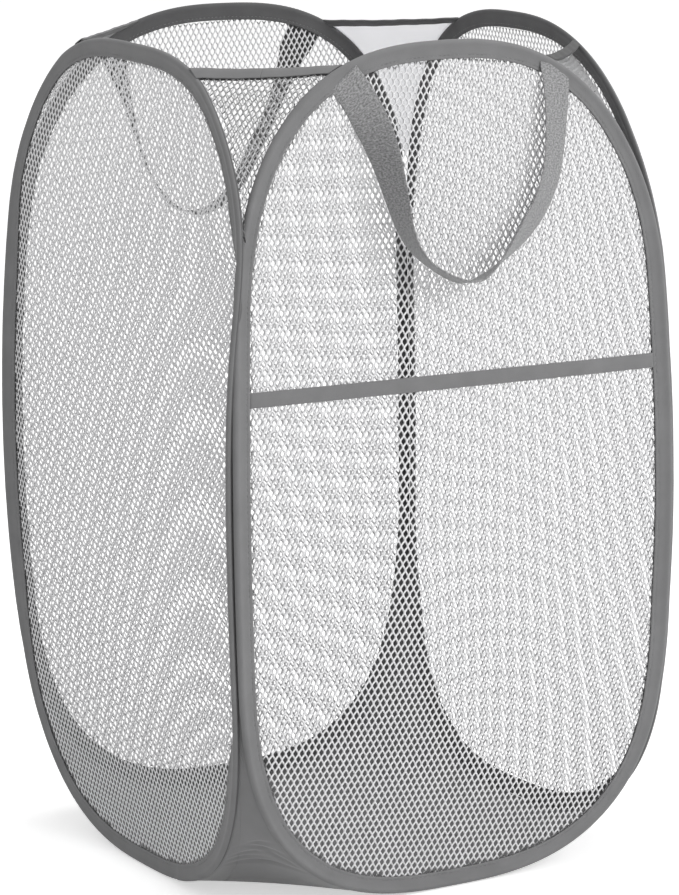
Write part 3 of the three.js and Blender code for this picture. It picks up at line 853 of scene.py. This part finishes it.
# middle line across the panel and up, and the turn in degrees at shares of the length: 0 lies flat on the net
# and 90 stands on edge
strap = {"width": 27.0, "thickness": 1.3, "steps": 170, "lift": 1.4, "sewn": 0.2, "sewnLength": 4, "liftOver": 9,
         "hingeTop": 578.0, "hingeFoot": 545.0,
         "front": {"line": [(-89, 591), (-84, 584), (-73, 569), (-61, 539), (-54, 510), (-47, 481), (-35, 464),
                            (-16, 452), (4, 443), (17, 449), (31, 457), (52, 473), (70, 490), (82, 509),
                            (90, 529), (96, 557), (102, 584), (103, 588)],
                   "turns": [(0, 0), (0.04, 12), (0.09, 27), (0.165, 60), (0.25, 80), (0.33, 95), (0.40, 96),
                             (0.50, 80), (0.58, 62), (0.65, 42), (0.72, 35), (0.84, 28), (0.92, 20),
                             (0.97, 10), (1, 0)]},
         "back": {"line": [(-84, 596), (-77, 571), (-70, 550), (-61, 531), (-50, 508), (-40, 489), (-31, 470),
                           (-17, 456), (-3, 449), (14, 447), (30, 456), (46, 472), (62, 500), (74, 531),
                           (84, 550), (94, 570), (101, 581), (103, 586)],
                  "turns": [(0, 0), (0.05, 45), (0.10, 85), (0.17, 96), (0.45, 100), (0.56, 85), (0.67, 68),
                            (0.78, 62), (0.87, 45), (0.93, 33), (0.98, 10), (1, 0)]}}


def strapLine(line):
    # a smooth curve through the points, with directions along it
    points = np.array(line, float)
    dense = []
    for k in range(len(points) - 1):
        before, after = points[max(k - 1, 0)], points[min(k + 2, len(points) - 1)]
        for t in np.linspace(0, 1, 40, endpoint=False):
            a, b = points[k], points[k + 1]
            ta, tb = (b - before) / 2, (after - a) / 2
            dense.append((2 * t ** 3 - 3 * t ** 2 + 1) * a + (t ** 3 - 2 * t ** 2 + t) * ta
                         + (-2 * t ** 3 + 3 * t ** 2) * b + (t ** 3 - t ** 2) * tb)
    # the cloth rounds off the corners between the points
    dense = np.stack([softened(values, 30) for values in np.array(dense + [points[-1]]).T], 1)
    length = np.concatenate([[0], np.cumsum(np.hypot(*np.diff(dense, axis=0).T))])
    along = np.linspace(0, length[-1], strap["steps"])
    u, z = np.interp(along, length, dense[:, 0]), np.interp(along, length, dense[:, 1])
    du, dz = np.gradient(u, along), np.gradient(z, along)
    size = np.hypot(du, dz)
    return u, z, du / size, dz / size, along


def handle(side):
    name = sideNames[side]
    u, z, du, dz, along = strapLine(strap[name]["line"])
    total = along[-1]
    places, turns = np.array(strap[name]["turns"]).T
    turn = np.radians(softened(np.interp(along / total, places, turns), 7))
    half, thick = strap["width"] / 2, strap["thickness"] / 2
    section = np.array([(-1, -0.5), (-0.96, -1), (-0.5, -0.92), (0, -0.9), (0.5, -0.92), (0.96, -1), (1, -0.5),
                        (1, 0.5), (0.96, 1), (0.5, 0.92), (0, 0.9), (-0.5, 0.92), (-0.96, 1), (-1, 0.5)])
    w, t = section[:, 0] * half, section[:, 1] * thick
    # the loop's inner edge turns away from the panel
    acrossU, acrossZ = -dz[:, None], du[:, None]
    c, s = np.cos(turn)[:, None], np.sin(turn)[:, None]
    uu = u[:, None] + acrossU * (w * c - t * s)
    zz = z[:, None] + acrossZ * (w * c - t * s)
    # beyond its sewn ends the strap hangs clear of the tape
    clear = np.clip((np.minimum(along, total - along) - strap["sewnLength"]) / strap["liftOver"], 0, 1)[:, None]
    out = strap["lift"] * clear + strap["sewn"] + half * s + w * s + t * c
    points = onPanel(side, uu.ravel(), zz.ravel(), out.ravel())
    uv = np.stack([np.repeat(along, len(w)) * mm, np.tile(w, len(along)) * mm], 1)
    faces = [face[::-1] for face in loopFaces(len(along), len(w), closed=False)]
    # the back handle's face towards the net gets the webbing's painted shade, a darker copy for the shade behind the
    # hamper
    slots = ([1 if side == 2 and k < 6 else 0 for k in range(len(w))]) * (len(along) - 1) + [0, 0]
    piece = makePiece("strap_" + name, points, faces, [webbing, webbingShade], uv=uv, slots=slots)
    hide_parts("handle_" + name)
    # a line across the panel below the tape is worked out but not used, and the strap keeps its place
    hinge = np.array([[0.0, -hoop["plane"], strap["hingeTop"]], [0.0, -hoop["plane"], strap["hingeFoot"]]])
    hinge = quarterTurn(hinge, side) * mm
    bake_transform(piece)


# spring wires and the sleeves that join their ends

wire = {"radius": 0.9, "sides": 8, "steps": 240, "sleeveRadius": 1.6, "sleeveBore": 1.2, "sleeveLength": 24.0}


def hoopWire(side):
    name = sideNames[side]
    line = hoopLine(wire["steps"])
    turn = np.linspace(0, 2 * math.pi, wire["sides"], endpoint=False)
    inset = hoop["bead"] + wire["radius"] * np.cos(turn)
    u = line["u"][:, None] + line["inU"][:, None] * inset
    z = line["z"][:, None] + line["inZ"][:, None] * inset
    out = np.broadcast_to(wire["radius"] * np.sin(turn), u.shape)
    points = onPanel(side, u.ravel(), z.ravel(), out.ravel())
    piece = makePiece("wire_" + name, points, loopFaces(wire["steps"], wire["sides"], closed=False), [springSteel])
    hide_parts("hoop_wire_" + name)
    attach(piece, bodyOf[name])
    flatten(piece)


def sleeve(side):
    name = sideNames[side]
    bpy.ops.object.select_all(action="DESELECT")
    bpy.ops.mesh.primitive_cylinder_add(vertices=20, radius=wire["sleeveRadius"] * mm, end_fill_type="NOTHING",
                                        depth=wire["sleeveLength"] * mm, rotation=(0, math.pi / 2, 0))
    piece = bpy.context.object
    piece.name = "sleeve_" + name
    foot = onPanel(side, np.zeros(1), np.array([hoop["bead"]]), np.zeros(1))[0]
    piece.rotation_euler = (0, math.pi / 2, side * math.pi / 2)
    piece.location = foot * mm
    bpy.ops.object.transform_apply(location=True, rotation=True, scale=True)
    solid = piece.modifiers.new("wall", "SOLIDIFY")
    solid.thickness = (wire["sleeveRadius"] - wire["sleeveBore"]) * mm
    bpy.ops.object.modifier_apply(modifier=solid.name)
    bevel = piece.modifiers.new("edges", "BEVEL")
    bevel.width = 0.0001
    bevel.segments = 2
    bpy.ops.object.modifier_apply(modifier=bevel.name)
    bpy.ops.object.shade_smooth_by_angle(angle=math.radians(35))
    piece.data.materials.append(springSteel)
    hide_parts("ferrule_" + name)
    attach(piece, bodyOf[name])
    flatten(piece)


for side in range(4):
    hoopWire(side)
    sleeve(side)
    binding(side)
    panelNet(side)
    print("panel", sideNames[side])

# the front left corner's net and edging are split between its two panels
for corner, half in ((0, 1), (0, -1), (1, 0), (3, 0)):
    cornerNet(corner, half)
for corner, half in ((0, 1), (0, -1), (1, 0), (2, 0), (3, 0)):
    cornerEdging(corner, half)
cornerCloth(2)
print("corners made")
base()
tapeAcross()
handle(0)
handle(2)
print("base, tape and handles made")


# floor and light

studioShape = {"floorSize": 60, "floorDrop": 0.0006, "floorGlow": 0.55, "skylight": 0.52,
               "lamps": [("key", (2.0, -3.2, 2.6), 2.2, 88), ("side", (-3.4, -1.2, 1.6), 2.4, 1),
                         ("top", (0.8, 0.6, 3.6), 2.2, 32)]}  # each lamp's place, size and power


def backdropRay(tree):
    # one where the background is seen straight, mirrored or through glass, and otherwise nought
    path = tree.nodes.new("ShaderNodeLightPath")
    found = path.outputs["Is Camera Ray"]
    for name in ("Is Glossy Ray", "Is Transmission Ray"):
        either = tree.nodes.new("ShaderNodeMath")
        either.operation = "MAXIMUM"
        tree.links.new(found, either.inputs[0])
        tree.links.new(path.outputs[name], either.inputs[1])
        found = either.outputs[0]
    return found


def studio():
    bpy.ops.object.select_all(action="DESELECT")
    bpy.ops.mesh.primitive_plane_add(size=studioShape["floorSize"], location=(0, 0, -studioShape["floorDrop"]))
    floor = bpy.context.object
    floor.name = "floor"
    bpy.ops.object.transform_apply(location=True, rotation=True, scale=True)
    material, tree, shader = newMaterial("floor", (0.86, 0.86, 0.86), 0.9)
    glow = tree.nodes.new("ShaderNodeEmission")
    glow.inputs["Color"].default_value = (1, 1, 1, 1)
    share = tree.nodes.new("ShaderNodeMath")
    share.operation = "MULTIPLY"
    share.inputs[1].default_value = studioShape["floorGlow"]
    tree.links.new(backdropRay(tree), share.inputs[0])
    tree.links.new(share.outputs[0], glow.inputs["Strength"])
    both = tree.nodes.new("ShaderNodeAddShader")
    tree.links.new(shader.outputs[0], both.inputs[0])
    tree.links.new(glow.outputs[0], both.inputs[1])
    tree.links.new(both.outputs[0], tree.nodes["Material Output"].inputs["Surface"])
    floor.data.materials.append(material)

    world = bpy.data.worlds.new("studio")
    bpy.context.scene.world = world
    world.use_nodes = True
    tree = world.node_tree
    background = tree.nodes["Background"]
    background.inputs["Color"].default_value = (1, 1, 1, 1)
    strength = tree.nodes.new("ShaderNodeMapRange")
    strength.inputs["To Min"].default_value = studioShape["skylight"]
    strength.inputs["To Max"].default_value = 1.0
    tree.links.new(backdropRay(tree), strength.inputs["Value"])
    tree.links.new(strength.outputs["Result"], background.inputs["Strength"])

    for name, place, size, power in studioShape["lamps"]:
        data = bpy.data.lights.new(name, "AREA")
        data.size = size
        data.energy = power
        lamp = bpy.data.objects.new(name, data)
        bpy.context.collection.objects.link(lamp)
        lamp.location = place
        lamp.rotation_euler = (Vector(place) - Vector((0, 0, 0.3))).to_track_quat("Z", "Y").to_euler()


studio()
bpy.context.scene.view_settings.view_transform = "Standard"
print("studio lit")
